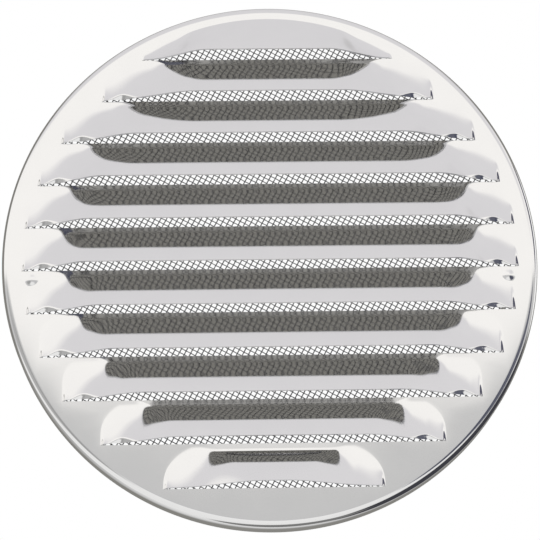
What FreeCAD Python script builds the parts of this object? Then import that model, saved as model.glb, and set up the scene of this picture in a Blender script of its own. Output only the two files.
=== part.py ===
import FreeCAD, Part
import math
import os

import Sketcher
from FreeCAD import Vector

# Round vent cover: a pressed sheet pan with rows of lanced louvres, a woven insect mesh
# behind it and two leaf springs that grip the duct.
# The wall is the plane Y = 0, the louvres face -Y and Z is up.

doc = FreeCAD.newDocument("VentCover")

# Driving dimensions in millimetres, angles in degrees.
DIMENSIONS = [
    ("outer_diameter", 200.0),
    ("rim_depth", 12.5),
    ("rim_corner_radius", 3.0),
    ("sheet_thickness", 0.6),
    ("flange_width", 7.5),
    ("louvre_pitch", 16.35),
    ("crown_margin", 1.85),
    ("top_hood_height", 16.35),
    ("bottom_margin", 7.0),
    ("louvre_projection", 8.05),
    ("lip_height", 1.67),
    ("lip_slope", 17.0),
    ("root_radius", 3.5),
    ("land_height", 0.6),
    ("slot_end_radius", 13.5),
    ("hood_end_radius", 15.0),
    ("hood_end_rise", 2.0),
    ("end_step", 2.8),
    ("lip_taper_length", 24.0),
    ("clinch_inset", 11.5),
    ("clinch_drop", 7.1),
    ("clinch_diameter", 6.0),
    ("clinch_height", 0.6),
    ("mesh_clearance", 0.3),
    ("wire_thickness", 0.6),
    ("wire_width", 3.2),
    ("wire_pitch", 16.0),
    ("wire_overlap", 0.2),
    ("weave_angle", 32.0),
    ("spring_thickness", 0.5),
    ("spring_width", 8.0),
    ("spring_heel", 4.5),
    ("spring_boss_diameter", 4.0),
    ("spring_bend_radius", 1.5),
    ("spring_lean", 3.0),
    ("spring_leg_length", 24.0),
    ("spring_knee_radius", 4.0),
    ("spring_tip_angle", 25.0),
    ("spring_tip_length", 10.0),
    ("spring_grip", 0.6),
    ("wall_cover", 5.0),
]

sheet = doc.addObject("Spreadsheet::Sheet", "Sizes")
for row, (alias, value) in enumerate(DIMENSIONS, start=1):
    sheet.set("A%d" % row, alias)
    sheet.set("B%d" % row, str(value))
    sheet.setAlias("B%d" % row, alias)
doc.recompute()


def size(alias):
    return float(sheet.get(alias))


def origin_plane(body, role):
    for feature in body.Origin.OriginFeatures:
        if feature.Role == role:
            return feature


def sketch_on(body, name, role):
    sketch = body.newObject("Sketcher::SketchObject", name)
    sketch.AttachmentSupport = (origin_plane(body, role), [""])
    sketch.MapMode = "FlatFace"
    return sketch


def dimension(sketch, name, constraint, formula):
    # Adds a constraint under a plain name and ties it to the sheet.
    index = sketch.addConstraint(constraint)
    sketch.renameConstraint(index, name)
    sketch.setExpression("Constraints." + name, formula)


def constrain(sketch, *rules):
    for rule in rules:
        sketch.addConstraint(Sketcher.Constraint(*rule))


# Places that several pieces share
outer_radius = size("outer_diameter") / 2
front = -size("rim_depth")
plate_back = front + size("sheet_thickness")
flat_radius = outer_radius - size("rim_corner_radius")
field_radius = outer_radius - size("flange_width")
pitch = size("louvre_pitch")
top_slot = flat_radius - size("crown_margin") - size("top_hood_height")
louvre_count = 1 + int((top_slot + field_radius - size("bottom_margin")) / pitch)
duct_radius = outer_radius - size("wall_cover")
clinch_x = outer_radius - size("clinch_inset")
clinch_z = -size("clinch_drop")
mesh_radius = flat_radius - size("mesh_clearance")
mesh_diameter = "Sizes.outer_diameter - 2 * (Sizes.rim_corner_radius + Sizes.mesh_clearance)"
mesh_back = plate_back + 2 * size("wire_thickness") - size("wire_overlap")


def line(start, end):
    return Part.LineSegment(start, end).toShape()


def make_pan():
    # The pan turned about the Y axis: flat front, rounded corner, straight rim.
    # The hidden inside of the corner is two flats, which keeps its facets few.
    body = doc.addObject("PartDesign::Body", "Pan")
    sketch = sketch_on(body, "PanSection", "XY_Plane")
    wall = size("sheet_thickness")
    corner = size("rim_corner_radius")
    turn = Vector(flat_radius, front + corner, 0)
    inside = (corner - wall) * math.sqrt(0.5)
    points = [
        Vector(0, front, 0),
        Vector(flat_radius, front, 0),
        Vector(outer_radius, front + corner, 0),
        Vector(outer_radius, 0, 0),
        Vector(outer_radius - wall, 0, 0),
        Vector(outer_radius - wall, front + corner, 0),
        turn + Vector(inside, -inside, 0),
        Vector(flat_radius, plate_back, 0),
        Vector(0, plate_back, 0),
    ]
    edges = [Part.LineSegment(start, end) for start, end in zip(points, points[1:] + points[:1])]
    edges[1] = Part.ArcOfCircle(Part.Circle(turn, Vector(0, 0, 1), corner), -math.pi / 2, 0)
    sketch.addGeometry(edges, False)
    constrain(
        sketch,
        ("Tangent", 0, 2, 1, 1), ("Tangent", 1, 2, 2, 1), ("Coincident", 2, 2, 3, 1),
        ("Coincident", 3, 2, 4, 1), ("Coincident", 4, 2, 5, 1), ("Coincident", 5, 2, 6, 1),
        ("Coincident", 6, 2, 7, 1), ("Coincident", 7, 2, 8, 1), ("Coincident", 8, 2, 0, 1),
        ("Horizontal", 0), ("Vertical", 2), ("Horizontal", 3), ("Vertical", 4),
        ("Horizontal", 7), ("Vertical", 8), ("Horizontal", 4, 2, 1, 3), ("Vertical", 7, 1, 1, 3),
        ("Equal", 5, 6), ("PointOnObject", 0, 1, -2), ("PointOnObject", 3, 1, -1),
    )
    dimension(sketch, "radius", Sketcher.Constraint("DistanceX", -1, 1, 2, 2, outer_radius),
              "Sizes.outer_diameter / 2")
    dimension(sketch, "depth", Sketcher.Constraint("DistanceY", 0, 2, -1, 1, -front),
              "Sizes.rim_depth")
    dimension(sketch, "corner", Sketcher.Constraint("Radius", 1, corner),
              "Sizes.rim_corner_radius")
    dimension(sketch, "wall", Sketcher.Constraint("DistanceX", 3, 2, 3, 1, wall),
              "Sizes.sheet_thickness")
    dimension(sketch, "front_wall", Sketcher.Constraint("DistanceY", 0, 2, 7, 1, wall),
              "Sizes.sheet_thickness")
    dimension(sketch, "inside_corner", Sketcher.Constraint("Distance", 1, 3, 5, 2, corner - wall),
              "Sizes.rim_corner_radius - Sizes.sheet_thickness")
    revolution = body.newObject("PartDesign::Revolution", "PanTurn")
    revolution.Profile = sketch
    revolution.ReferenceAxis = (sketch, ["V_Axis"])
    revolution.Angle = 360
    return body


def slot_height(row):
    return top_slot - row * pitch


def slot_half_length(row):
    # Above the middle a hood keeps its rounded end inside the field circle, and the top hood
    # and the rows below the middle end on it.
    height = slot_height(row)
    end_radius = size("slot_end_radius")
    if height > 0 and row > 0:
        return end_radius + math.sqrt(max((field_radius - end_radius) ** 2 - height ** 2, 0.0))
    return math.sqrt(field_radius ** 2 - height ** 2)


def hood_section(height, sheet_face):
    # Section of a hood over its slot: a small bend off the sheet, then a wide arc that comes
    # down to the lip at the lip slope, and straight lines back to the sheet.
    slope = math.radians(size("lip_slope"))
    bend = size("root_radius")
    span = height - size("lip_height")
    rise = span - bend * math.sin(slope)
    run = size("louvre_projection") - bend * (1 - math.cos(slope))
    joint = 2 * math.atan2(run, rise) - slope
    arc = (span - bend * math.sin(joint)) / (math.sin(joint) - math.sin(slope))

    def on_bend(angle):
        return Vector(0, sheet_face - bend * (1 - math.cos(angle)), height - bend * math.sin(angle))

    def on_arc(angle):
        along = Vector(0, math.cos(joint) - math.cos(angle), math.sin(angle) - math.sin(joint))
        return on_bend(joint) + along * arc

    lip = on_arc(slope)
    corners = [lip, Vector(0, lip.y, 0), Vector(0, sheet_face, 0), on_bend(0)]
    edges = [
        Part.Arc(on_bend(0), on_bend(joint / 2), on_bend(joint)).toShape(),
        Part.Arc(on_arc(joint), on_arc((joint + slope) / 2), lip).toShape(),
    ]
    edges += [line(start, end) for start, end in zip(corners, corners[1:])]
    return Part.Face(Part.Wire(edges))


def hood_outline(row, inset, low):
    # Block with two rounded upper ends: the outline that a hood has in the sheet.
    half_length = slot_half_length(row) - inset
    radius = min(size("hood_end_radius") - inset, half_length)
    bottom = slot_height(row) + low
    shoulder = slot_height(row) + size("hood_end_rise")
    middle = half_length - radius
    depth = 2 * (size("louvre_projection") - front)

    def at(x, z):
        return Vector(x, -depth / 2, z)

    def rounded_end(side):
        slant = radius * math.sqrt(0.5)
        return Part.Arc(at(side * half_length, shoulder), at(side * (middle + slant), shoulder + slant),
                        at(side * middle, shoulder + radius)).toShape()

    edges = [
        line(at(-half_length, bottom), at(half_length, bottom)),
        line(at(half_length, bottom), at(half_length, shoulder)),
        rounded_end(1),
    ]
    if middle > 0:
        edges.append(line(at(middle, shoulder + radius), at(-middle, shoulder + radius)))
    edges += [rounded_end(-1), line(at(-half_length, shoulder), at(-half_length, bottom))]
    return Part.Face(Part.Wire(edges)).extrude(Vector(0, depth, 0))


def end_ramp(row, sheet_face, side):
    # Wedge that trims a hood so that its lip climbs from the end step to its full height.
    taper = size("lip_taper_length")
    climb = (size("louvre_projection") - size("end_step")) / taper

    def on_ramp(from_end):
        return Vector(side * (slot_half_length(row) - from_end),
                      sheet_face - size("end_step") - climb * from_end, slot_height(row) - pitch)

    outside = on_ramp(-taper)
    inside = on_ramp(2 * taper)
    corner = Vector(outside.x, inside.y, inside.z)
    triangle = Part.makePolygon([outside, inside, corner, outside])
    return Part.Face(triangle).extrude(Vector(0, 0, 3 * pitch))


def straight_hood(row, sheet_face, inset, low):
    half_length = slot_half_length(row)
    section = hood_section(pitch - size("land_height"), sheet_face)
    section.translate(Vector(-half_length, 0, slot_height(row)))
    bar = section.extrude(Vector(2 * half_length, 0, 0))
    ramps = [end_ramp(row, sheet_face, side) for side in (-1, 1)]
    return bar.common(hood_outline(row, inset, low)).cut(ramps)


def top_hood(sheet_face, low):
    # The section turned about the centre of the crown's arc, and cut off along the slot.
    half_length = slot_half_length(0)
    height = size("top_hood_height")
    arc_radius = (half_length ** 2 + height ** 2) / (2 * height)
    centre = Vector(0, 0, slot_height(0) + height - arc_radius)
    axis = Vector(0, 1, 0)
    section = hood_section(height, sheet_face)
    section.translate(Vector(0, 0, slot_height(0)))
    section.rotate(centre, axis, -90)
    depth = 2 * (size("louvre_projection") - front)
    above = Part.makeBox(2 * outer_radius, depth, outer_radius,
                         Vector(-outer_radius, -depth / 2, slot_height(0) + low))
    return section.revolve(centre, axis, 180).common(above)


def add_hood(name, row, sheet_face, inset, low):
    # The outer form of a hood stands on the front of the sheet and ends at the lip; its hollow
    # is the same form set back by the sheet's thickness, and opens down to the slot.
    feature = doc.addObject("Part::Feature", "%s%d" % (name, row + 1))
    if row == 0:
        feature.Shape = top_hood(sheet_face, low)
    else:
        feature.Shape = straight_hood(row, sheet_face, inset, low)
    return feature


def add_cylinder(name, diameter, length, base):
    # A cylinder along +Y whose diameter and length are formulas on the sheet.
    cylinder = doc.addObject("Part::Cylinder", name)
    cylinder.setExpression("Radius", "(%s) / 2" % diameter)
    cylinder.setExpression("Height", length)
    cylinder.Placement = FreeCAD.Placement(base, FreeCAD.Rotation(Vector(0, 0, 1), Vector(0, 1, 0)))
    return cylinder


def fuse(name, shapes):
    result = doc.addObject("Part::MultiFuse", name)
    result.Shapes = shapes
    result.Refine = True
    return result


def make_clinch(name, side):
    # Low dome on the front where a spring's foot is clinched to the sheet behind it.
    half_width = size("clinch_diameter") / 2
    height = size("clinch_height")
    radius = (half_width ** 2 + height ** 2) / (2 * height)
    dome = doc.addObject("Part::Sphere", name)
    dome.Radius = radius
    dome.Angle1 = math.degrees(math.asin((radius - height) / radius))
    centre = Vector(side * clinch_x, front + radius - height, clinch_z)
    dome.Placement = FreeCAD.Placement(centre, FreeCAD.Rotation(Vector(0, 0, 1), Vector(0, -1, 0)))
    return dome


def make_plate():
    rows = range(louvre_count)
    hoods = [add_hood("Hood", row, front, 0.0, size("lip_height")) for row in rows]
    hollows = [add_hood("Hollow", row, plate_back, size("sheet_thickness"), 0.0) for row in rows]
    clinches = [make_clinch("ClinchLeft", -1), make_clinch("ClinchRight", 1)]
    plate = doc.addObject("Part::Cut", "LouvrePlate")
    plate.Base = fuse("PressedSheet", [make_pan()] + hoods + clinches)
    plate.Tool = fuse("Hollows", hollows)
    plate.Refine = True
    plate.Label = "louvre_plate"
    return plate


def make_bars(name, layer, turn):
    # Parallel flat ridges of one direction of the weave, turned about the axis of the cover.
    bars = []
    count = int(mesh_radius / size("wire_pitch"))
    turned = FreeCAD.Placement(Vector(0, 0, 0), FreeCAD.Rotation(Vector(0, 1, 0), turn))
    for k in range(-count, count + 1):
        bar = doc.addObject("Part::Box", "%s%d" % (name, k + count + 1))
        bar.setExpression("Length", mesh_diameter)
        bar.setExpression("Width", "Sizes.wire_thickness")
        bar.setExpression("Height", "Sizes.wire_width")
        low = k * size("wire_pitch") - size("wire_width") / 2
        at = FreeCAD.Placement(Vector(-mesh_radius, layer, low), FreeCAD.Rotation())
        bar.Placement = turned.multiply(at)
        bars.append(bar)
    return bars


def make_mesh():
    # Insect mesh as a coarse weave: one set of ridges in front, the other behind it.
    turn = size("weave_angle")
    warp = make_bars("Warp", plate_back, turn)
    weft = make_bars("Weft", mesh_back - size("wire_thickness"), turn - 90)
    lattice = fuse("Lattice", warp + weft)
    # The outline and the holes reach past both faces of the weave.
    through = "2 * (Sizes.wire_thickness + Sizes.mesh_clearance)"
    ahead = plate_back - size("mesh_clearance")
    trim = add_cylinder("MeshOutline", mesh_diameter, through, Vector(0, ahead, 0))
    disc = doc.addObject("Part::Common", "MeshDisc")
    disc.Base = lattice
    disc.Tool = trim
    hole = "Sizes.spring_boss_diameter + 2 * Sizes.mesh_clearance"
    holes = []
    for name, side in (("BossHoleLeft", -1), ("BossHoleRight", 1)):
        holes.append(add_cylinder(name, hole, through, Vector(side * clinch_x, ahead, clinch_z)))
    mesh = doc.addObject("Part::Cut", "InsectMesh")
    mesh.Base = disc
    mesh.Tool = fuse("BossHoles", holes)
    mesh.Label = "insect_mesh"
    return mesh


def spring_path(sketch):
    # Centre line of the bent strip: foot, bend, leg leaning out, knee and tip turned in.
    half = size("spring_thickness") / 2
    lean = math.radians(size("spring_lean"))
    tip = math.radians(size("spring_tip_angle"))
    bend = size("spring_bend_radius") + half
    knee = size("spring_knee_radius") + half
    leg = size("spring_leg_length")
    reach = duct_radius + size("spring_grip") - half
    foot_y = mesh_back + half
    heel = clinch_x - size("spring_heel")
    bend_x = reach - knee * (1 - math.cos(lean)) - leg * math.sin(lean) - bend * math.cos(lean)
    bend_at = Vector(bend_x, foot_y + bend, 0)
    leg_start = bend_at + Vector(math.cos(lean), -math.sin(lean), 0) * bend
    leg_end = leg_start + Vector(math.sin(lean), math.cos(lean), 0) * leg
    knee_at = leg_end - Vector(math.cos(lean), -math.sin(lean), 0) * knee
    tip_start = knee_at + Vector(math.cos(tip), math.sin(tip), 0) * knee
    tip_end = tip_start + Vector(-math.sin(tip), math.cos(tip), 0) * size("spring_tip_length")
    up = Vector(0, 0, 1)
    sketch.addGeometry([
        Part.LineSegment(Vector(heel, foot_y, 0), Vector(bend_x, foot_y, 0)),
        Part.ArcOfCircle(Part.Circle(bend_at, up, bend), -math.pi / 2, -lean),
        Part.LineSegment(leg_start, leg_end),
        Part.ArcOfCircle(Part.Circle(knee_at, up, knee), -lean, tip),
        Part.LineSegment(tip_start, tip_end),
    ], False)
    constrain(
        sketch,
        ("Tangent", 0, 2, 1, 1), ("Tangent", 1, 2, 2, 1), ("Tangent", 2, 2, 3, 1),
        ("Tangent", 3, 2, 4, 1), ("Horizontal", 0),
    )
    dimension(sketch, "bend", Sketcher.Constraint("Radius", 1, bend),
              "Sizes.spring_bend_radius + Sizes.spring_thickness / 2")
    dimension(sketch, "knee", Sketcher.Constraint("Radius", 3, knee),
              "Sizes.spring_knee_radius + Sizes.spring_thickness / 2")
    dimension(sketch, "leg", Sketcher.Constraint("Distance", 2, leg), "Sizes.spring_leg_length")
    dimension(sketch, "tip", Sketcher.Constraint("Distance", 4, size("spring_tip_length")),
              "Sizes.spring_tip_length")
    return Vector(heel, foot_y, 0)


def make_spring():
    # Right-hand spring: a strip bent along its path, with a boss that reaches the sheet.
    body = doc.addObject("PartDesign::Body", "SpringStrip")
    path = sketch_on(body, "SpringPath", "XY_Plane")
    start = spring_path(path)
    section = sketch_on(body, "SpringSection", "YZ_Plane")
    section.AttachmentOffset = FreeCAD.Placement(Vector(0, 0, start.x), FreeCAD.Rotation())
    half_t = size("spring_thickness") / 2
    half_w = size("spring_width") / 2
    corners = [Vector(start.y - half_t, -half_w, 0), Vector(start.y + half_t, -half_w, 0),
               Vector(start.y + half_t, half_w, 0), Vector(start.y - half_t, half_w, 0)]
    section.addGeometry([Part.LineSegment(corners[k], corners[(k + 1) % 4]) for k in range(4)], False)
    constrain(
        section,
        ("Coincident", 0, 2, 1, 1), ("Coincident", 1, 2, 2, 1), ("Coincident", 2, 2, 3, 1),
        ("Coincident", 3, 2, 0, 1), ("Horizontal", 0), ("Horizontal", 2), ("Vertical", 1),
        ("Symmetric", 0, 1, 3, 1, -1),
    )
    dimension(section, "thickness", Sketcher.Constraint("Distance", 0, 2 * half_t),
              "Sizes.spring_thickness")
    dimension(section, "width", Sketcher.Constraint("Distance", 1, 2 * half_w), "Sizes.spring_width")
    strip = body.newObject("PartDesign::AdditivePipe", "SpringBend")
    strip.Profile = section
    strip.Spine = path
    body.Placement = FreeCAD.Placement(Vector(0, 0, clinch_z), FreeCAD.Rotation())
    boss = add_cylinder("SpringBoss", "Sizes.spring_boss_diameter",
                        "2 * Sizes.wire_thickness - Sizes.wire_overlap",
                        Vector(clinch_x, plate_back, clinch_z))
    spring = fuse("SpringRight", [body, boss])
    spring.Label = "spring_right"
    return spring


def mirror_spring(right):
    left = doc.addObject("Part::Mirroring", "SpringLeft")
    left.Source = right
    left.Normal = Vector(1, 0, 0)
    left.Label = "spring_left"
    return left


def finish(parts):
    # Every object has to be sound before any file is written.
    doc.recompute()
    for obj in doc.Objects:
        if "Invalid" in obj.State or "Error" in obj.State:
            raise RuntimeError("%s failed: %s" % (obj.Label, obj.State))
    for part in parts:
        if part.Shape.isNull() or not part.Shape.isValid():
            raise RuntimeError("%s has no valid shape" % part.Label)
    os.makedirs("parts", exist_ok=True)
    for part in parts:
        part.Shape.exportStep("parts/%s.step" % part.Label)
        print(part.Label, len(part.Shape.Solids), "solid", round(part.Shape.Volume, 1), "mm3")


plate = make_plate()
mesh = make_mesh()
spring_right = make_spring()
doc.recompute()
spring_left = mirror_spring(spring_right)
finish([plate, mesh, spring_left, spring_right])
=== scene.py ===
import bpy
import bmesh
import math
from mathutils import Matrix, Vector


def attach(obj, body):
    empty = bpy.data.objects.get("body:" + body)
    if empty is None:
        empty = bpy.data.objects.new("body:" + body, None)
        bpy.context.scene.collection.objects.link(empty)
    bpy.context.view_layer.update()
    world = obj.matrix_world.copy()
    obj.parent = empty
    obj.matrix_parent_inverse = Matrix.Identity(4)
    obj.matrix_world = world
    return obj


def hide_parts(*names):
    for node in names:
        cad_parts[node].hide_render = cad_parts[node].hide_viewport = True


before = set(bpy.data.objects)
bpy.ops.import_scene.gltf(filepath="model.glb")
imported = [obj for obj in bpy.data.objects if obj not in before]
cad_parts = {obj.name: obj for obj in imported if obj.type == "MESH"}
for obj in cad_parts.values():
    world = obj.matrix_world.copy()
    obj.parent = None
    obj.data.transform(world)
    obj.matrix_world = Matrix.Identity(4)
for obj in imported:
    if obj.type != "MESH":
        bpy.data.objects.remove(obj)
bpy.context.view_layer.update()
millimetre = 0.001
near = 1e-6                                      # metres: points closer than this count as one
scene = bpy.context.scene


# small helpers for modelling

def clearSelection():
    if bpy.context.object and bpy.context.object.mode != "OBJECT":
        bpy.ops.object.mode_set(mode="OBJECT")
    bpy.ops.object.select_all(action="DESELECT")


def pickOnly(*pieces):
    clearSelection()
    for piece in pieces:
        piece.select_set(True)
    bpy.context.view_layer.objects.active = pieces[0]


def joinPieces(pieces, name):
    pickOnly(*pieces)
    bpy.ops.object.join()
    joined = bpy.context.object
    joined.name = name
    joined.data.name = name
    return joined


def applyModifier(piece, kind, settings):
    pickOnly(piece)
    modifier = piece.modifiers.new(kind.title(), kind)
    for key, value in settings.items():
        setattr(modifier, key, value)
    bpy.ops.object.modifier_apply(modifier=modifier.name)


def spinProfile(points, steps, name):
    # points are (radius, depth) pairs, turned once round the Y axis
    mesh = bpy.data.meshes.new(name)
    mesh.from_pydata([(radius, depth, 0.0) for radius, depth in points],
                     [(i, i + 1) for i in range(len(points) - 1)], [])
    piece = bpy.data.objects.new(name, mesh)
    scene.collection.objects.link(piece)
    pickOnly(piece)
    bpy.ops.object.mode_set(mode="EDIT")
    bpy.ops.mesh.select_all(action="SELECT")
    bpy.ops.mesh.spin(steps=steps, angle=2 * math.pi, center=(0, 0, 0), axis=(0, 1, 0))
    bpy.ops.mesh.select_all(action="SELECT")
    bpy.ops.mesh.remove_doubles(threshold=near)
    bpy.ops.object.mode_set(mode="OBJECT")
    return piece


def smoothStep(value):
    value = min(max(value, 0.0), 1.0)
    return value * value * (3 - 2 * value)


# shader maths: one class for a value, one for a tree of nodes

class Value:
    def __init__(self, shader, output):
        self.shader = shader
        self.output = output

    def combine(self, operation, first, second):
        return self.shader.node("ShaderNodeMath", {"operation": operation}, {0: first, 1: second})

    def __add__(self, other):
        return self.combine("ADD", self, other)

    def __radd__(self, other):
        return self.combine("ADD", other, self)

    def __sub__(self, other):
        return self.combine("SUBTRACT", self, other)

    def __mul__(self, other):
        return self.combine("MULTIPLY", self, other)

    def __rmul__(self, other):
        return self.combine("MULTIPLY", other, self)


class Shader:
    def __init__(self, owner):
        owner.use_nodes = True
        self.tree = owner.node_tree
        self.tree.nodes.clear()

    def node(self, kind, settings=None, inputs=None, output=0):
        made = self.tree.nodes.new(kind)
        for key, value in (settings or {}).items():
            if key == "stops":
                ramp = made.color_ramp
                ramp.elements[0].position, ramp.elements[0].color = value[0]
                ramp.elements[1].position, ramp.elements[1].color = value[-1]
                for position, colour in value[1:-1]:
                    ramp.elements.new(position).color = colour
            else:
                setattr(made, key, value)
        for key, value in (inputs or {}).items():
            if isinstance(value, Value):
                self.tree.links.new(value.output, made.inputs[key])
            else:
                made.inputs[key].default_value = value
        return Value(self, made.outputs[output]) if len(made.outputs) else None


def grey(level):
    return (level, level, level, 1)


# materials

noiseForms = {"wave": (1.5, 0.45), "grain": (3.0, 0.6), "stain": (4.0, 0.55)}   # detail and roughness
noiseMiddle = 0.5


def noise(shader, form, place, scale):
    detail, roughness = noiseForms[form]
    return shader.node("ShaderNodeTexNoise", {}, {
        "Vector": place, "Scale": scale, "Detail": detail, "Roughness": roughness})


def steelMaterial(name, look):
    material = bpy.data.materials.new(name)
    shader = Shader(material)
    place = shader.node("ShaderNodeTexCoord", output="Object")
    wave = noise(shader, "wave", place, look["waveScale"])
    drawn = shader.node("ShaderNodeMapping", {}, {"Vector": place, "Scale": look["grainStretch"]})
    grain = noise(shader, "grain", drawn, look["grainScale"])
    stain = noise(shader, "stain", place, look["stainScale"])
    colour = shader.node("ShaderNodeMix", {"data_type": "RGBA"}, {
        0: stain, 6: look["darkTone"], 7: look["lightTone"]}, output=2)
    rough = (look["roughness"] + look["roughSpread"] * (stain - noiseMiddle)
             + look["grainRough"] * (grain - noiseMiddle))
    dents = shader.node("ShaderNodeBump", {}, {
        "Strength": 1.0, "Distance": look["waveDepth"], "Height": wave})
    bumps = shader.node("ShaderNodeBump", {}, {
        "Strength": 1.0, "Distance": look["grainDepth"], "Height": grain, "Normal": dents})
    surface = shader.node("ShaderNodeBsdfPrincipled", {}, {
        "Base Color": colour, "Metallic": 1.0, "Roughness": rough, "Normal": bumps})
    shader.node("ShaderNodeOutputMaterial", {}, {"Surface": surface})
    return material


polishedLook = {
    "lightTone": (0.93, 0.925, 0.915, 1), "darkTone": (0.88, 0.875, 0.87, 1),
    "roughness": 0.085, "roughSpread": 0.05, "grainRough": 0.02,
    "waveScale": 30.0, "waveDepth": 0.03 * millimetre,
    "grainStretch": (0.06, 1.0, 1.0), "grainScale": 2600.0, "grainDepth": 0.00008 * millimetre,
    "stainScale": 90.0,
}
cutEdgeLook = {
    "lightTone": (0.78, 0.78, 0.79, 1), "darkTone": (0.5, 0.5, 0.52, 1),
    "roughness": 0.34, "roughSpread": 0.1, "grainRough": 0.12,
    "waveScale": 700.0, "waveDepth": 0.02 * millimetre,
    "grainStretch": (1.0, 0.2, 0.2), "grainScale": 3500.0, "grainDepth": 0.006 * millimetre,
    "stainScale": 260.0,
}
wireLook = {
    "lightTone": (0.34, 0.34, 0.35, 1), "darkTone": (0.2, 0.2, 0.21, 1),
    "roughness": 0.36, "roughSpread": 0.14, "grainRough": 0.08,
    "waveScale": 900.0, "waveDepth": 0.01 * millimetre,
    "grainStretch": (1.0, 1.0, 1.0), "grainScale": 6000.0, "grainDepth": 0.004 * millimetre,
    "stainScale": 320.0,
}
springLook = {
    "lightTone": (0.64, 0.63, 0.61, 1), "darkTone": (0.5, 0.49, 0.48, 1),
    "roughness": 0.27, "roughSpread": 0.1, "grainRough": 0.12,
    "waveScale": 120.0, "waveDepth": 0.01 * millimetre,
    "grainStretch": (1.0, 0.05, 1.0), "grainScale": 3200.0, "grainDepth": 0.004 * millimetre,
    "stainScale": 150.0,
}
polishedSteel = steelMaterial("polishedSteel", polishedLook)
cutEdgeSteel = steelMaterial("cutEdgeSteel", cutEdgeLook)
drawnWire = steelMaterial("drawnWire", wireLook)
springSteel = steelMaterial("springSteel", springLook)
print("materials made")


# louvre plate: one pressed sheet with eleven hoods and a rim turned back, in millimetres and degrees

plate = {
    "outerRadius": 100.0, "rimDepth": 12.5, "cornerRadius": 3.0, "sheet": 0.6,
    "rows": 11, "pitch": 16.4, "topSlot": 78.65,
    "slotHalves": (47.9, 63.1, 78.4, 87.1, 91.8, 92.8, 91.0, 85.9, 77.4, 63.4, 40.6),
    "projection": 8.05, "lipSetback": 1.42, "kerf": 0.25, "lipSlope": 17.5, "rootBend": 0.8,
    "leastLand": 0.25, "land": 1.9, "landTilt": 13.0,   # strip under the slot above
    "endRadius": 12.6, "endRise": 3.5,           # outline of a hood's end
    "scoopBend": 0.1, "scoopReach": 0.8, "scoopFoot": 0.45,   # shallow end's section, as shares
    "endStep": 1.5, "stepLength": 1.7, "taperLength": 25.0, "crownRoom": 0.6,
    # lip bent under near its ends: start and length of its coming in, then of its going out
    "tuckHeight": 1.8, "tuckSlope": 0.6, "tuckPlace": (2.5, 5.5, 8.0, 7.0),
    # turn to the full section: start, length, and share of the overhang past the slot above
    "fold": (12.0, 14.0, 0.6), "foot": (13.0, 7.5, 0.4), "lipFullness": 0.4,
    # rows that differ from the sizes above
    "rowChanges": {0: {"endStep": 0.5, "endRise": 2.0, "land": 0.25, "landTilt": 0.0, "tuckHeight": 0.0},
                   1: {"taperLength": 36.0},
                   2: {"taperLength": 29.0},
                   6: {"endRadius": 9.0, "endRise": 7.0, "taperLength": 29.0},
                   7: {"endRadius": 9.0, "endRise": 7.0, "taperLength": 29.0, "landTilt": 12.0},
                   8: {"endRadius": 9.0, "endRise": 7.0, "taperLength": 29.0,
                       "leastLand": 1.8, "land": 2.1, "landTilt": 10.5},
                   9: {"taperLength": 29.0, "lipFullness": 0.6,
                       "leastLand": 1.6, "land": 2.4, "landTilt": 7.5},
                   10: {"endRadius": 15.0, "endRise": 1.0, "taperLength": 36.0, "lipFullness": 0.9,
                        "leastLand": 1.0, "land": 2.7, "landTilt": 0.5, "tuckHeight": 0.0}},
    # columns across a row: close ones at the slot's end, then wider and wider ones
    "endMarks": (0.0, 0.12, 0.28, 0.45, 0.65, 0.85, 1.05, 1.25, 1.45, 1.7, 2.0, 2.4),
    "markStep": 0.4, "markGrowth": 1 / 60, "widestMark": 1.1, "taperRoom": 2.0,
    "middleStep": 3.2, "middleRoom": 4.5, "markSlack": 0.0001,
    "hoodSamples": 26, "landSamples": 3, "ringSteps": 480, "cornerSteps": 16,
    "wallDepths": (-6.0, -2.5, 0.0), "smoothAngle": 38.0,
    "clinchRadius": 3.0, "clinchHeight": 0.45, "clinchPlace": (88.5, -6.7),
    "clinchSink": 0.01, "clinchSamples": 12, "clinchTurns": 48,
}
frontDepth = -plate["rimDepth"]
flatRadius = plate["outerRadius"] - plate["cornerRadius"]


def slotHeight(row):
    return plate["topSlot"] - row * plate["pitch"]


def slotHalf(row):
    return plate["slotHalves"][row]


def rowSize(row, name):
    return plate["rowChanges"].get(row, {}).get(name, plate[name])


def shareAt(row, along, name):
    # starts further in where the slot above ends short of this one
    start, length, follow = plate[name]
    short = max(slotHalf(row) - slotHalf(row - 1), 0.0) if row else 0.0
    return smoothStep((along - start - follow * short) / length)


def hoodHeight(row, along):
    # height of the root above the slot, along from the slot's end
    rise = rowSize(row, "endRise")
    if row == 0:
        half = slotHalf(0)
        crown = plate["pitch"] - rise
        arc = (half ** 2 + crown ** 2) / (2 * crown)
        return rise + crown - arc + math.sqrt(arc ** 2 - (half - along) ** 2)
    turn = rowSize(row, "endRadius")
    least = rowSize(row, "leastLand")
    top = plate["pitch"] - least - (rowSize(row, "land") - least) * shareAt(row, along, "foot")
    return min(top, rise + math.sqrt(turn ** 2 - max(turn - along, 0.0) ** 2))


def lipReach(row, along):
    step = rowSize(row, "endStep")
    climb = smoothStep(along / rowSize(row, "taperLength"))
    return step * smoothStep(along / plate["stepLength"]) + (plate["projection"] - step) * climb


def tuckAt(row, along):
    # how high up from the lip the sheet is bent under
    start, comeIn, finish, goOut = plate["tuckPlace"]
    begun = smoothStep((along - start) / comeIn)
    return rowSize(row, "tuckHeight") * begun * (1 - smoothStep((along - finish) / goOut))


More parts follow.
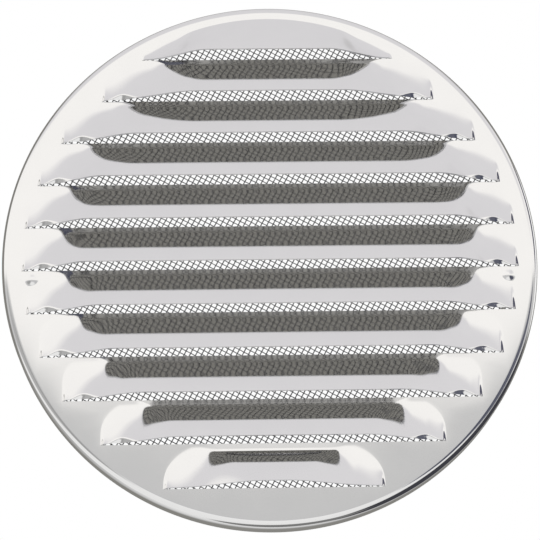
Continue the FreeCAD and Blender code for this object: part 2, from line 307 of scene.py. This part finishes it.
def hoodColumn(row, along):
    # (height, depth) from the lip up to the top of the land
    slot = slotHeight(row)
    reach = lipReach(row, along)
    share = reach / plate["projection"]
    lip = slot + plate["kerf"] * smoothStep(along / plate["stepLength"]) + plate["lipSetback"] * share ** 2
    height = hoodHeight(row, along)
    root = slot + height
    span = root - lip
    fold = shareAt(row, along, "fold")
    foot = shareAt(row, along, "foot")
    full = rowSize(row, "lipFullness") * span
    fall = math.tan(math.radians(plate["lipSlope"])) * share
    scoop = plate["scoopBend"] * span * (1 - fold)
    bend = plate["scoopFoot"] * span * (1 - foot) + plate["rootBend"] * foot
    lean = math.tan(math.radians(rowSize(row, "landTilt"))) * foot
    drop = lean * (plate["pitch"] - height)
    shoulder = (lip + scoop + full * fold,
                -reach * plate["scoopReach"] * (1 - fold) + (full * fall - reach) * fold)
    tuck = tuckAt(row, along)
    poles = ((lip, -reach), shoulder, (root - bend, -drop - bend * lean), (root, -drop))
    column = []
    for sample in range(plate["hoodSamples"] + 1):
        t = sample / plate["hoodSamples"]
        weights = ((1 - t) ** 3, 3 * t * (1 - t) ** 2, 3 * t * t * (1 - t), t ** 3)   # cubic curve
        z, depth = (sum(w * pole[axis] for w, pole in zip(weights, poles)) for axis in (0, 1))
        column.append((z, depth + plate["tuckSlope"] * max(tuck - (z - lip), 0.0)))
    top = slot + plate["pitch"]
    if row == 0 or slotHalf(row) - along > slotHalf(row - 1) + plate["markSlack"]:
        top = min(top, root + plate["crownRoom"])     # no slot above, so the flat front takes over
    for sample in range(1, plate["landSamples"] + 1):
        part = sample / plate["landSamples"]
        column.append((root + (top - root) * part, drop * (part - 1)))
    return column


def columnPlaces(row):
    # places across the row, close together at the slot's ends
    half = slotHalf(row)
    marks = list(plate["endMarks"])
    while marks[-1] < rowSize(row, "taperLength") + plate["taperRoom"]:
        step = plate["markStep"] + plate["markGrowth"] * len(marks)
        marks.append(marks[-1] + min(step, plate["widestMark"]))
    while marks[-1] + plate["middleRoom"] < half:
        marks.append(marks[-1] + plate["middleStep"])
    sides = {round(half - mark, 6) for mark in marks if mark < half}
    if row > 0 and slotHalf(row - 1) < half:
        sides.add(round(slotHalf(row - 1), 6))   # the slot above ends on this row's top edge
    sides = sorted(sides)
    return [-place for place in reversed(sides)] + [0.0] + [place for place in sides if place > 0]


def hoodStrip(row):
    places = columnPlaces(row)
    half = slotHalf(row)
    across = len(places) - 1
    up = plate["hoodSamples"] + plate["landSamples"]
    clearSelection()
    bpy.ops.mesh.primitive_grid_add(x_subdivisions=across, y_subdivisions=up, size=2)
    strip = bpy.context.object
    columns = [hoodColumn(row, max(half - abs(place), 0.0)) for place in places]
    for vertex in strip.data.vertices:
        i = round((vertex.co.x + 1) / 2 * across)
        j = round((vertex.co.y + 1) / 2 * up)
        height, depth = columns[i][j]
        vertex.co = (places[i] * millimetre, (frontDepth + depth) * millimetre, height * millimetre)
    return strip


def rimProfile():
    # from the flat front round the corner to the wall
    points = []
    for step in range(plate["cornerSteps"] + 1):
        turn = math.radians(90 * step / plate["cornerSteps"])
        points.append((flatRadius + plate["cornerRadius"] * math.sin(turn),
                       frontDepth + plate["cornerRadius"] * (1 - math.cos(turn))))
    points += [(plate["outerRadius"], depth) for depth in plate["wallDepths"]]
    return [(radius * millimetre, depth * millimetre) for radius, depth in points]


def fillFront(piece):
    # the flat sheet between the rim and the steps of the louvre field
    pickOnly(piece)
    bpy.ops.object.mode_set(mode="EDIT")
    bpy.ops.mesh.select_mode(type="EDGE")
    bpy.ops.mesh.select_all(action="SELECT")
    bpy.ops.mesh.remove_doubles(threshold=near)
    bpy.ops.mesh.select_all(action="DESELECT")
    sheet = bmesh.from_edit_mesh(piece.data)
    front = frontDepth * millimetre
    slots = [(slotHeight(row) * millimetre, slotHalf(row) * millimetre) for row in range(plate["rows"])]

    def underSlot(edge):
        # the lower edge of a slot stays open
        middle = (edge.verts[0].co + edge.verts[1].co) / 2
        level = abs(edge.verts[0].co.z - edge.verts[1].co.z) < near
        return level and any(abs(middle.z - slot) < near and abs(middle.x) < half for slot, half in slots)

    for edge in sheet.edges:
        flat = all(abs(v.co.y - front) < near for v in edge.verts)
        if edge.is_boundary and flat and not underSlot(edge):
            edge.select = True

    def vertexAt(x, z):
        goal = Vector((x * millimetre, front, z * millimetre))
        return min(sheet.verts, key=lambda v: (v.co - goal).length)

    # lower edges of the slots that are longer than the row under them
    for row in range(plate["rows"]):
        slot = slotHeight(row)
        last = row == plate["rows"] - 1
        if last:
            ends = [(-slotHalf(row), slotHalf(row))]
        elif slotHalf(row + 1) < slotHalf(row):
            ends = [(side * slotHalf(row), side * slotHalf(row + 1)) for side in (-1, 1)]
        else:
            ends = []
        for first, second in ends:
            edge = sheet.edges.new((vertexAt(first, slot), vertexAt(second, slot)))
            edge.select = True
    bmesh.update_edit_mesh(piece.data)
    bpy.ops.mesh.fill(use_beauty=True)
    bpy.ops.mesh.select_all(action="SELECT")
    bpy.ops.mesh.normals_make_consistent(inside=False)
    bpy.ops.object.mode_set(mode="OBJECT")
    facing = sum(face.normal.y * face.area for face in piece.data.polygons)
    if facing > 0:
        bpy.ops.object.mode_set(mode="EDIT")
        bpy.ops.mesh.select_all(action="SELECT")
        bpy.ops.mesh.flip_normals()
        bpy.ops.object.mode_set(mode="OBJECT")


def clinchDome(side):
    # a low round bump with a soft foot, turned on the Y axis and then put in its place
    points = []
    for step in range(plate["clinchSamples"] + 1):
        share = step / plate["clinchSamples"]
        rise = plate["clinchHeight"] * (1 - smoothStep(share)) - plate["clinchSink"]
        points.append((plate["clinchRadius"] * share * millimetre, (frontDepth - rise) * millimetre))
    dome = spinProfile(points, plate["clinchTurns"], "clinchDome")
    x, z = plate["clinchPlace"]
    dome.data.transform(Matrix.Translation((side * x * millimetre, 0, z * millimetre)))
    return dome


def makePlate():
    strips = [hoodStrip(row) for row in range(plate["rows"])]
    rim = spinProfile(rimProfile(), plate["ringSteps"], "rim")
    piece = joinPieces(strips + [rim], "louvreSheet")
    fillFront(piece)
    piece.data.materials.clear()
    piece.data.materials.append(polishedSteel)
    piece.data.materials.append(cutEdgeSteel)
    applyModifier(piece, "SOLIDIFY", {"thickness": plate["sheet"] * millimetre, "offset": -1.0,
                                      "material_offset_rim": 1})
    domes = [clinchDome(side) for side in (-1, 1)]
    for dome in domes:
        dome.data.materials.append(polishedSteel)
    piece = joinPieces([piece] + domes, "louvreSheet")
    bpy.ops.object.shade_smooth_by_angle(angle=math.radians(plate["smoothAngle"]))
    return piece


louvreSheet = makePlate()
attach(louvreSheet, "root")
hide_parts("louvre_plate")
print("louvre plate made:", len(louvreSheet.data.polygons), "faces")


# insect mesh: crimped wires woven over and under each other

cloth = {
    "warpPitch": 1.61, "weftPitch": 1.9, "warpWire": 0.38, "weftWire": 0.44,
    "radius": 96.5, "middleDepth": -11.4, "crimp": 0.2,
    "turn": 28.8, "pointsPerPitch": 2, "leastPoints": 2, "wireSides": 5,
}


def wireSection(wire):
    ring = bpy.data.curves.new("wireSection", "CURVE")
    ring.dimensions = "2D"
    spline = ring.splines.new("POLY")
    spline.points.add(cloth["wireSides"] - 1)
    for k, point in enumerate(spline.points):
        turn = 2 * math.pi * k / cloth["wireSides"]
        size = wire / 2 * millimetre
        point.co = (size * math.cos(turn), size * math.sin(turn), 0, 1)
    spline.use_cyclic_u = True
    piece = bpy.data.objects.new("wireSection", ring)
    scene.collection.objects.link(piece)
    return piece


def wireSet(name, turn, sign, wire, pitch, crossing):
    # parallel wires across the disc, each bent in turn over and under the other set
    section = wireSection(wire)
    curve = bpy.data.curves.new(name, "CURVE")
    curve.dimensions = "3D"
    curve.bevel_mode = "OBJECT"
    curve.bevel_object = section
    curve.use_fill_caps = True
    along = Vector((math.cos(turn), 0, math.sin(turn)))
    across = Vector((-math.sin(turn), 0, math.cos(turn)))
    count = int(cloth["radius"] / pitch)
    for k in range(-count, count + 1):
        half = math.sqrt(cloth["radius"] ** 2 - (k * pitch) ** 2)
        reach = int(half / crossing * cloth["pointsPerPitch"])
        if reach < cloth["leastPoints"]:
            continue
        spline = curve.splines.new("POLY")
        spline.points.add(2 * reach)
        for n, point in enumerate(spline.points):
            run = (n - reach) / cloth["pointsPerPitch"]
            lift = sign * cloth["crimp"] * math.cos(math.pi * (run + k))
            place = along * run * crossing + across * k * pitch
            point.co = (place.x * millimetre, (cloth["middleDepth"] + lift) * millimetre,
                        place.z * millimetre, 1)
    piece = bpy.data.objects.new(name, curve)
    scene.collection.objects.link(piece)
    pickOnly(piece)
    bpy.ops.object.convert(target="MESH")
    bpy.ops.object.shade_smooth()
    piece = bpy.context.object
    piece.data.materials.clear()
    piece.data.materials.append(drawnWire)
    bpy.data.objects.remove(section)
    return piece


meshWarp = wireSet("meshWarp", math.radians(-cloth["turn"]), 1,
                   cloth["warpWire"], cloth["warpPitch"], cloth["weftPitch"])
meshWeft = wireSet("meshWeft", math.radians(90 - cloth["turn"]), -1,
                   cloth["weftWire"], cloth["weftPitch"], cloth["warpPitch"])
for piece in (meshWarp, meshWeft):
    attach(piece, "root")
    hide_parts("insect_mesh")
    print("woven wires made:", len(piece.data.polygons), "faces")


# leaf springs keep their CAD shape

for name in ("spring_left", "spring_right"):
    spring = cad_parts[name]
    spring.data.materials.clear()
    spring.data.materials.append(springSteel)
print("spring finish set")


# floor, and a studio dome whose tones the steel mirrors

studio = {
    "floorHeight": -0.55, "floorSize": 12.0, "floorTone": (0.86, 0.86, 0.86, 1), "floorGlow": 0.9,
    "worldStrength": 0.75,
    # tones by the sine of the height, from straight down to straight up
    "frontTones": [(-1.0, (0.84, 0.84, 0.84)), (-0.16, (0.88, 0.88, 0.88)), (-0.08, (0.57, 0.57, 0.58)),
                   (0.165, (0.6, 0.6, 0.6)), (0.205, (1.0, 0.985, 0.965)), (0.56, (0.98, 0.965, 0.95)),
                   (0.68, (0.74, 0.73, 0.75)), (1.0, (0.72, 0.71, 0.73))],
    "backTones": [(-1.0, (0.84, 0.84, 0.84)), (-0.6, (0.5, 0.5, 0.5)), (-0.1, (0.235, 0.23, 0.215)),
                  (0.7, (0.225, 0.22, 0.205)), (0.87, (0.7, 0.69, 0.71)), (1.0, (0.72, 0.71, 0.73))],
    "turnBack": (-0.06, 0.08),                   # where the front tones give way to the back ones
    # patches of another tone: direction, inner and outer cosine, tone
    "sidePatches": [((0.5, -0.62, 0.6), 0.985, 0.92, (0.74, 0.73, 0.75, 1)),
                    ((0.48, -0.87, -0.12), 0.985, 0.965, (0.08, 0.085, 0.12, 1)),
                    ((0.74, -0.66, -0.08), 0.98, 0.955, (0.12, 0.125, 0.16, 1)),
                    ((-0.5, -0.85, -0.12), 0.985, 0.955, (0.36, 0.36, 0.36, 1)),
                    ((-0.76, -0.64, -0.08), 0.98, 0.95, (0.45, 0.45, 0.45, 1)),
                    ((0.93, 0.3, 0.25), 0.97, 0.94, (1.0, 1.0, 1.0, 1)),
                    ((0.92, -0.08, 0.38), 0.985, 0.97, (0.1, 0.1, 0.14, 1)),
                    ((0.72, 0.05, -0.62), 0.84, 0.77, (0.05, 0.05, 0.06, 1)),
                    ((0.1, -0.05, -1.0), 0.95, 0.92, (0.2, 0.2, 0.2, 1))],
}


def makeFloor():
    clearSelection()
    bpy.ops.mesh.primitive_plane_add(size=studio["floorSize"], location=(0, 0, studio["floorHeight"]))
    floor = bpy.context.object
    floor.name = "studioFloor"
    material = bpy.data.materials.new("paleFloor")
    shader = Shader(material)
    paint = shader.node("ShaderNodeBsdfDiffuse", {}, {"Color": studio["floorTone"]})
    white = shader.node("ShaderNodeEmission", {}, {"Color": grey(1.0), "Strength": 1.0})
    seen = shader.node("ShaderNodeLightPath", output="Is Camera Ray")
    surface = shader.node("ShaderNodeMixShader", {}, {0: seen * studio["floorGlow"], 1: paint, 2: white})
    shader.node("ShaderNodeOutputMaterial", {}, {"Surface": surface})
    floor.data.materials.append(material)
    floor.visible_glossy = False                 # the dome gives the tones that the steel mirrors


def toneRamp(shader, height, tones):
    # heights run from -1 to 1, places on a ramp from 0 to 1
    stops = [(0.5 + 0.5 * place, tone + (1,)) for place, tone in tones]
    return shader.node("ShaderNodeValToRGB", {"stops": stops}, {"Fac": 0.5 + 0.5 * height})


def makeWorld():
    world = bpy.data.worlds.new("softStudio")
    scene.world = world
    shader = Shader(world)
    way = shader.node("ShaderNodeTexCoord", output="Generated")
    height = shader.node("ShaderNodeSeparateXYZ", {}, {"Vector": way}, output="Z")
    depth = shader.node("ShaderNodeSeparateXYZ", {}, {"Vector": way}, output="Y")
    behind = shader.node("ShaderNodeMapRange", {"interpolation_type": "SMOOTHSTEP"}, {
        "Value": depth, "From Min": studio["turnBack"][0], "From Max": studio["turnBack"][1]})
    tone = shader.node("ShaderNodeMix", {"data_type": "RGBA"}, {
        0: behind, 6: toneRamp(shader, height, studio["frontTones"]),
        7: toneRamp(shader, height, studio["backTones"])}, output=2)
    for centre, inner, outer, patch in studio["sidePatches"]:
        aim = tuple(Vector(centre).normalized())
        cosine = shader.node("ShaderNodeVectorMath", {"operation": "DOT_PRODUCT"}, {
            0: way, 1: aim}, output="Value")
        share = shader.node("ShaderNodeMapRange", {"interpolation_type": "SMOOTHSTEP"}, {
            "Value": cosine, "From Min": outer, "From Max": inner})
        tone = shader.node("ShaderNodeMix", {"data_type": "RGBA"}, {0: share, 6: tone, 7: patch}, output=2)
    seen = shader.node("ShaderNodeLightPath", output="Is Camera Ray")
    mirrored = shader.node("ShaderNodeLightPath", output="Is Glossy Ray")
    through = shader.node("ShaderNodeLightPath", output="Is Transmission Ray")
    soft = shader.node("ShaderNodeBackground", {}, {
        "Color": grey(1.0), "Strength": studio["worldStrength"]})
    clear = shader.node("ShaderNodeBackground", {}, {"Color": grey(1.0), "Strength": 1.0})
    dome = shader.node("ShaderNodeBackground", {}, {"Color": tone, "Strength": 1.0})
    lit = shader.node("ShaderNodeMixShader", {}, {0: mirrored, 1: soft, 2: dome})
    both = shader.node("ShaderNodeMixShader", {}, {0: seen + through, 1: lit, 2: clear})
    shader.node("ShaderNodeOutputWorld", {}, {"Surface": both})


makeFloor()
makeWorld()
print("studio made")


# camera below the cover's axis, as in the photograph

view = {
    "aim": (0.0, -0.0125, 0.0), "azimuth": -1.68, "elevation": -14.1, "roll": -1.0,
    "distance": 0.85, "lens": 152.2, "shiftX": -0.0011, "shiftY": -0.0187,
    "sensor": 36.0, "clipStart": 0.01,
}


def makeCamera():
    data = bpy.data.cameras.new("camera")
    camera = bpy.data.objects.new("camera", data)
    scene.collection.objects.link(camera)
    azimuth = math.radians(view["azimuth"])
    elevation = math.radians(view["elevation"])
    back = Vector((math.sin(azimuth) * math.cos(elevation),
                   -math.cos(azimuth) * math.cos(elevation), math.sin(elevation)))
    camera.location = Vector(view["aim"]) + back * view["distance"]
    turned = (-back).to_track_quat("-Z", "Y").to_matrix()
    roll = Matrix.Rotation(math.radians(view["roll"]), 3, "Z")
    camera.rotation_euler = (turned @ roll).to_euler()
    data.sensor_width = view["sensor"]
    data.lens = view["lens"]
    data.shift_x = view["shiftX"]
    data.shift_y = view["shiftY"]
    data.clip_start = view["clipStart"]
    scene.camera = camera


makeCamera()
scene.view_settings.view_transform = "Standard"
print("camera set")

clearSelection()
